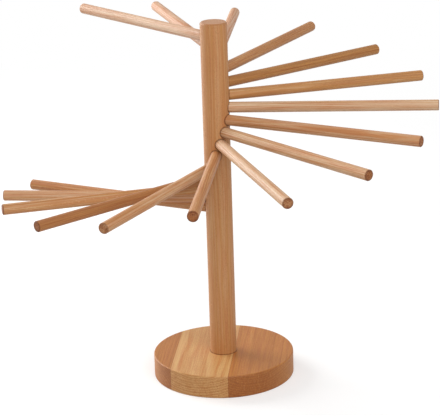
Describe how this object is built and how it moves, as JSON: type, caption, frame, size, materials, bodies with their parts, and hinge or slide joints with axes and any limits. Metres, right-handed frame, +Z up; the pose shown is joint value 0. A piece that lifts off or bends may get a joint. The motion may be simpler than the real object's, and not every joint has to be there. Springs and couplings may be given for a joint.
{
  "type": "pasta drying rack",
  "caption": "Free-standing wooden drying rack: a round base, an upright post and a falling spiral of pull-out rods over which fresh pasta is hung.",
  "frame": {"origin": "centre of the base's underside, on the post's axis", "axes": "+Z up along the post; one rod points along each of +X, -X, +Y and -Y, and the top rod points midway between -X and +Y"},
  "size_m": [0.49, 0.4901, 0.411],
  "materials": {
    "base_wood": "sanded beech, unvarnished",
    "post_wood": "sanded beech, unvarnished",
    "rod_wood": "sanded beech, unvarnished",
    "screw_steel": "bright zinc-plated steel"
  },
  "bodies": {
    "stand": {"base_stave_1": "base_wood", "base_stave_2": "base_wood", "base_stave_3": "base_wood", "centre_post": "post_wood", "base_screw": "screw_steel"},
    "rod_01": {"rod_01": "rod_wood"},
    "rod_02": {"rod_02": "rod_wood"},
    "rod_03": {"rod_03": "rod_wood"},
    "rod_04": {"rod_04": "rod_wood"},
    "rod_05": {"rod_05": "rod_wood"},
    "rod_06": {"rod_06": "rod_wood"},
    "rod_07": {"rod_07": "rod_wood"},
    "rod_08": {"rod_08": "rod_wood"},
    "rod_09": {"rod_09": "rod_wood"},
    "rod_10": {"rod_10": "rod_wood"},
    "rod_11": {"rod_11": "rod_wood"},
    "rod_12": {"rod_12": "rod_wood"},
    "rod_13": {"rod_13": "rod_wood"},
    "rod_14": {"rod_14": "rod_wood"},
    "rod_15": {"rod_15": "rod_wood"},
    "rod_16": {"rod_16": "rod_wood"}
  },
  "joints": [
    {"name": "rod_01_pull", "type": "slide", "parent": "stand", "child": "rod_01", "axis": [-0.7071, 0.7071, -0.0087], "range_m": [0, 0.024]},
    {"name": "rod_02_pull", "type": "slide", "parent": "stand", "child": "rod_02", "axis": [-0.3827, 0.9239, 0.007], "range_m": [0, 0.024]},
    {"name": "rod_03_pull", "type": "slide", "parent": "stand", "child": "rod_03", "axis": [0, 1, 0.0087], "range_m": [0, 0.024]},
    {"name": "rod_04_pull", "type": "slide", "parent": "stand", "child": "rod_04", "axis": [0.3827, 0.9239, 0.0052], "range_m": [0, 0.024]},
    {"name": "rod_05_pull", "type": "slide", "parent": "stand", "child": "rod_05", "axis": [0.7071, 0.7071, -0.0087], "range_m": [0, 0.024]},
    {"name": "rod_06_pull", "type": "slide", "parent": "stand", "child": "rod_06", "axis": [0.9239, 0.3827, -0.0052], "range_m": [0, 0.024]},
    {"name": "rod_07_pull", "type": "slide", "parent": "stand", "child": "rod_07", "axis": [1, 0, 0.007], "range_m": [0, 0.024]},
    {"name": "rod_08_pull", "type": "slide", "parent": "stand", "child": "rod_08", "axis": [0.9239, -0.3827, 0], "range_m": [0, 0.024]},
    {"name": "rod_09_pull", "type": "slide", "parent": "stand", "child": "rod_09", "axis": [0.7071, -0.7071, 0], "range_m": [0, 0.024]},
    {"name": "rod_10_pull", "type": "slide", "parent": "stand", "child": "rod_10", "axis": [0.3827, -0.9239, 0], "range_m": [0, 0.024]},
    {"name": "rod_11_pull", "type": "slide", "parent": "stand", "child": "rod_11", "axis": [0, -0.9998, 0.0209], "range_m": [0, 0.024]},
    {"name": "rod_12_pull", "type": "slide", "parent": "stand", "child": "rod_12", "axis": [-0.3827, -0.9239, -0.0035], "range_m": [0, 0.024]},
    {"name": "rod_13_pull", "type": "slide", "parent": "stand", "child": "rod_13", "axis": [-0.707, -0.707, -0.0157], "range_m": [0, 0.024]},
    {"name": "rod_14_pull", "type": "slide", "parent": "stand", "child": "rod_14", "axis": [-0.9238, -0.3827, 0.0087], "range_m": [0, 0.024]},
    {"name": "rod_15_pull", "type": "slide", "parent": "stand", "child": "rod_15", "axis": [-1, 0, 0.007], "range_m": [0, 0.024]},
    {"name": "rod_16_pull", "type": "slide", "parent": "stand", "child": "rod_16", "axis": [-0.9239, 0.3827, -0.007], "range_m": [0, 0.0185]}
  ]
}
